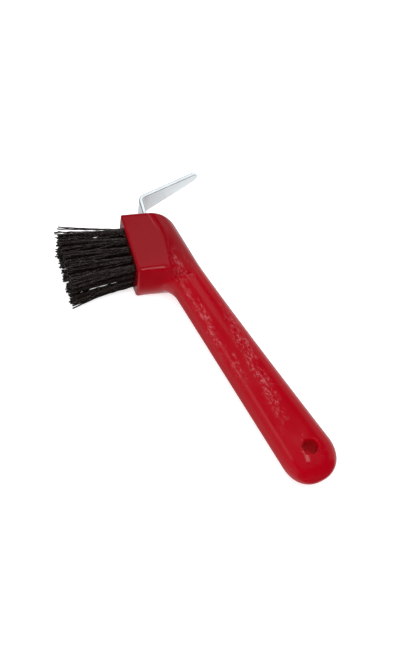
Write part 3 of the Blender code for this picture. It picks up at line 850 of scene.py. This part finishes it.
def packed_places(count, rng):
    """Places across a hole for both legs of each folded filament, mirrored about the anchor."""
    room = TUFT_HOLE_RADIUS - FILAMENT_RADIUS - HOLE_CLEARANCE
    clear = ANCHOR_THICKNESS / 2 + FILAMENT_RADIUS
    squeeze = 1 - clear / room
    places = []
    golden = math.pi * (3 - math.sqrt(5))
    for k in range(2 * count):
        radius = room * math.sqrt((k + 0.5) / (2 * count))
        places.append((radius * math.cos(k * golden), radius * math.sin(k * golden)))
    places.sort(key=lambda p: p[1])
    lower = sorted(places[:count])
    upper = sorted(places[count:])
    pairs = []
    for (upper_along, upper_thick), (lower_along, lower_thick) in zip(upper, lower):
        pairs.append(((upper_along, clear + max(upper_thick, 0.0) * squeeze),
                      (lower_along, -clear + min(lower_thick, 0.0) * squeeze)))
    rng.shuffle(pairs)
    return pairs


def leg_points(place, tuft, rng, extra_length=0.0, bow=(0.0, 0.0)):
    """One leg from just above the anchor to its cut end, in the tuft's own axes (length, thickness, out)."""
    along, thick = place
    share = STRAY_SHARE if extra_length else 1.0
    length = BRISTLE_LENGTH + rng.normal(0.0, LENGTH_SPREAD) + extra_length
    flare = TUFT_FLARE + rng.normal(0.0, FLARE_SPREAD)
    lean = rng.normal(0.0, LEAN_SPREAD, 2) * share + np.array(bow)
    phase = tuft["phase"] + rng.normal(0.0, PHASE_SPREAD)
    plane = tuft["plane"] + rng.normal(0.0, PLANE_SPREAD)
    wave = CRIMP_LENGTH * (1 + rng.normal(0.0, WAVE_SPREAD))
    height = CRIMP_HEIGHT * (1 + rng.normal(0.0, HEIGHT_SPREAD)) * share
    points = []
    inside = TUFT_HOLE_DEPTH - GAP - FOLD_THICKNESS
    for out in (-inside, -inside * 0.6, -inside * 0.25):
        points.append((along, thick, out))
    steps = 30
    for k in range(steps + 1):
        out = length * k / steps
        far = out / BRISTLE_LENGTH
        grown = 1 + flare * far
        turn = 2 * math.pi * out / wave + phase
        curl = height * min(out / CRIMP_FADE_IN, 1.0) * (math.sin(turn) - math.sin(3 * turn) / 9)
        points.append((along * grown + lean[0] * far ** LEAN_POWER + curl * math.cos(plane),
                       thick * grown + lean[1] * far ** LEAN_POWER + curl * math.sin(plane), out))
    return points


def filament_tube(path):
    """The points of a round tube along a path, ring after ring."""
    path = np.asarray(path)
    ahead = np.gradient(path, axis=0)
    ahead /= np.linalg.norm(ahead, axis=1)[:, None]
    angles = 2 * np.pi * np.arange(FILAMENT_SIDES) / FILAMENT_SIDES
    side = np.cross(ahead[0], (0.31, 0.83, 0.46))       # any direction off the path will do
    rings = []
    for point, direction in zip(path, ahead):
        side = side - direction * side.dot(direction)
        side /= np.linalg.norm(side)
        other = np.cross(direction, side)
        round_path = np.outer(np.cos(angles), side) + np.outer(np.sin(angles), other)
        rings.append(point + FILAMENT_RADIUS * round_path)
    return np.concatenate(rings)


def make_tuft(column, row, material):
    """A bundle of crimped filaments, each folded under the anchor at the bottom of its hole."""
    rng = np.random.default_rng(1000 + 10 * column + row)
    across = column - (TUFT_COLUMNS - 1) / 2
    up = row - (TUFT_ROWS - 1) / 2
    z_axis = np.array((0.0, 0.0, 1.0))
    along3 = np.array((*FACE_ALONG, 0.0))
    normal3 = np.array((*FACE_NORMAL, 0.0))
    plan = FACE_CENTRE + FACE_ALONG * (across * TUFT_PITCH + BRUSH_SHIFT)
    root = np.array((*plan, MID_Z + up * TUFT_PITCH))
    slant = math.tan(across * COLUMN_FAN - BRUSH_LEAN)
    direction = normal3 + along3 * slant + z_axis * math.tan(up * ROW_FAN)
    direction /= np.linalg.norm(direction)
    length_axis = along3 * math.cos(ANCHOR_TURN) + z_axis * math.sin(ANCHOR_TURN)
    thick_axis = np.cross(normal3, length_axis)
    tuft = {"phase": rng.uniform(0, 2 * math.pi), "plane": rng.uniform(0, math.pi)}

    def placed(points):
        """Carries points from the tuft's own axes into the tool's frame, between its two side planes."""
        result = []
        lowest = FILAMENT_RADIUS + SIDE_CLEARANCE
        for along, thick, out in points:
            axis = direction if out > 0 else normal3
            point = root + length_axis * along + thick_axis * thick + axis * out
            point[2] = min(max(point[2], lowest), HEAD_THICKNESS - lowest)
            result.append(point)
        return result

    vertices = []
    faces = []
    strays = list(STRAYS.get((column, row), ()))
    for first_place, second_place in packed_places(FOLDED_FILAMENTS, rng):
        first_leg = leg_points(first_place, tuft, rng)
        second_leg = leg_points(second_place, tuft, rng)
        if strays:
            first_leg = leg_points(first_place, tuft, rng, *strays.pop())
        fold = fold_points(first_leg[0], second_leg[0])
        path = placed(list(reversed(first_leg)) + fold + second_leg)
        faces += ring_faces(len(path), FILAMENT_SIDES, len(vertices))
        vertices.extend(filament_tube(path))
    made = add_mesh(f"bristles_{column + 1}_{row + 1}", vertices, faces, material)
    made.data.set_sharp_from_angle(angle=math.radians(65))
    return as_piece(made, f"tuft_{column + 1}_{row + 1}")


def fold_points(start, end):
    """The short U under the anchor between two legs."""
    steps = 5
    depth = FOLD_THICKNESS - FILAMENT_RADIUS * 0.9      # of the filament's middle line
    points = []
    for k in range(1, steps):
        turn = math.pi * k / steps
        share = (1 - math.cos(turn)) / 2
        points.append((start[0] + (end[0] - start[0]) * share,
                       start[1] + (end[1] - start[1]) * share,
                       start[2] - math.sin(turn) * depth))
    return points


# ------------------------------------------------------------------ stage, light and camera
VIEW_TARGET = np.array((0.07926, 0.00927, 0.0))     # in the tool's frame
VIEW_HEADING = math.radians(-39.5)                  # the way the camera looks in plan, from +X
VIEW_ELEVATION = math.radians(62)
VIEW_ROLL = math.radians(11)
VIEW_DISTANCE = 0.74
LENS = 85.0


def make_camera():
    """The photograph's view: from above, a little from the grip's end and the brush's side, and rolled."""
    data = bpy.data.cameras.new("camera")
    camera = bpy.data.objects.new("camera", data)
    bpy.context.scene.collection.objects.link(camera)
    heading = Vector((math.cos(VIEW_HEADING), math.sin(VIEW_HEADING), 0.0))
    ahead = heading * math.cos(VIEW_ELEVATION) - Vector((0, 0, 1)) * math.sin(VIEW_ELEVATION)
    level_right = ahead.cross(Vector((0, 0, 1))).normalized()
    level_up = level_right.cross(ahead)
    right = level_right * math.cos(VIEW_ROLL) + level_up * math.sin(VIEW_ROLL)
    up = level_up * math.cos(VIEW_ROLL) - level_right * math.sin(VIEW_ROLL)
    matrix = Matrix((right, up, -ahead)).transposed().to_4x4()
    matrix.translation = Vector(VIEW_TARGET + ORIGIN) - ahead * VIEW_DISTANCE
    camera.matrix_world = matrix
    data.lens = LENS
    data.sensor_width = 36.0
    data.clip_start = 0.01
    data.clip_end = 20.0
    bpy.context.scene.camera = camera


def area_light(name, place, target, size, power, seen_in_gloss=True):
    data = bpy.data.lights.new(name, "AREA")
    data.shape = "RECTANGLE"
    data.size, data.size_y = size
    data.energy = power
    light = bpy.data.objects.new(name, data)
    bpy.context.scene.collection.objects.link(light)
    light.location = place
    light.rotation_euler = (Vector(target) - Vector(place)).to_track_quat("-Z", "Y").to_euler()
    light.visible_glossy = seen_in_gloss


# Brightness of the room by height, from straight down (-1) to straight up (1).
ROOM_GREYS = ((-1.0, 1.0), (-0.2, 1.0), (0.0, 0.72), (0.25, 0.52), (0.46, 0.45), (0.65, 0.03), (1.0, 0.01))
BRIGHT_SIDE = (0.6, -0.8, 0.0)


def make_room():
    """A pale room around the tool, bright near the floor and dark overhead.

    It is brighter towards BRIGHT_SIDE, nearly dark towards -X, and dimmer low down towards +X."""
    world = bpy.data.worlds.new("studio")
    bpy.context.scene.world = world
    world.use_nodes = True
    tree = world.node_tree
    background = tree.nodes["Background"]
    place = add_node(tree, "ShaderNodeTexCoord").outputs["Generated"]
    split = add_node(tree, "ShaderNodeSeparateXYZ", {0: place})
    x, z = split.outputs[0], split.outputs[2]
    height = times(tree, math_node(tree, "ADD", z, 1.0), 0.5)
    greys = add_node(tree, "ShaderNodeValToRGB", {0: height})
    elements = greys.color_ramp.elements
    while len(elements) < len(ROOM_GREYS):
        elements.new(0.5)
    for element, (level, grey) in zip(elements, ROOM_GREYS):
        element.position = (level + 1) / 2
        element.color = (grey, grey, grey, 1.0)
    tree.links.new(greys.outputs[0], background.inputs[0])

    towards = add_node(tree, "ShaderNodeVectorMath", {0: place, 1: BRIGHT_SIDE}, operation="DOT_PRODUCT")
    side = ramp_node(tree, towards.outputs["Value"], -0.30, 0.45, 0.50, 1.10)
    behind = ramp_node(tree, x, -0.52, -0.26, 0.06, 1.0)
    low_ahead = times(tree, ramp_node(tree, z, -0.55, -0.75), ramp_node(tree, x, 0.10, 0.35), 0.7)
    strength = times(tree, side, behind, math_node(tree, "SUBTRACT", 1.0, low_ahead))
    tree.links.new(strength, background.inputs[1])


def above_floor(x, y, z):
    """A place given in plan in the tool's frame, at a height above the floor."""
    return Vector((ORIGIN[0] + x, ORIGIN[1] + y, z))


def make_lamps():
    """Three wide lamps that give no highlights, and four panels that the glossy parts do mirror.

    Three of the panels are aimed at one place of the tool each: the head, the crown and the grip."""
    centre = (0.0, 0.0, 0.0)
    area_light("overhead", (0.0, 0.0, 1.3), centre, (1.6, 1.6), 21.0, seen_in_gloss=False)
    head = above_floor(0.1240, 0.0160, HEAD_THICKNESS)
    area_light("head_panel", head + Vector((0.362, -0.299, 0.883)) * 0.5, head, (0.11, 0.11), 0.028)
    crown = above_floor(0.1300, 0.0040, HEAD_THICKNESS)
    area_light("crown_panel", crown + Vector((0.400, -0.720, 0.570)) * 0.4, crown, (0.09, 0.14), 0.016)
    area_light("top_panel", (-0.04, -0.12, 0.80), centre, (0.28, 0.12), 0.42)
    grip = above_floor(0.0600, 0.0100, MID_Z)
    area_light("front_panel", grip + Vector((0.362, 0.615, 0.70)) * 0.8, grip, (0.45, 0.26), 0.36)
    area_light("front_fill", (0.0, 1.1, 0.45), centre, (1.0, 0.6), 3.0, seen_in_gloss=False)
    area_light("side_fill", (-1.1, 0.1, 0.30), centre, (0.8, 0.5), 3.2, seen_in_gloss=False)


FLOOR_REACH = 3.0
FLOOR_DROP = 0.0002              # the floor lies just under the tool


def make_stage(material):
    """The floor, which the glossy parts do not mirror."""
    reach = FLOOR_REACH
    corners = [(-reach, -reach, 0.0), (reach, -reach, 0.0), (reach, reach, 0.0), (-reach, reach, 0.0)]
    mesh = bpy.data.meshes.new("floor")
    mesh.from_pydata(corners, [], [(0, 1, 2, 3)])
    mesh.materials.append(material)
    floor = bpy.data.objects.new("floor", mesh)
    floor.location.z = -FLOOR_DROP
    floor.visible_glossy = False
    bpy.context.scene.collection.objects.link(floor)


def paint_anchors(material):
    """The anchors keep their frame shape and take the wire's material."""
    for name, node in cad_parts.items():
        if name.startswith("anchor_"):
            node.data.materials.clear()
            node.data.materials.append(material)


make_camera()
make_room()
make_lamps()
make_stage(pale_floor())
make_handle(red_plastic(), lightened_red_bore())
make_pick(zinc_steel(), sheared_corner())
filament = black_filament()
for column in range(TUFT_COLUMNS):
    for row in range(TUFT_ROWS):
        make_tuft(column, row, filament)
paint_anchors(anchor_wire())
bpy.context.scene.view_settings.view_transform = "Standard"
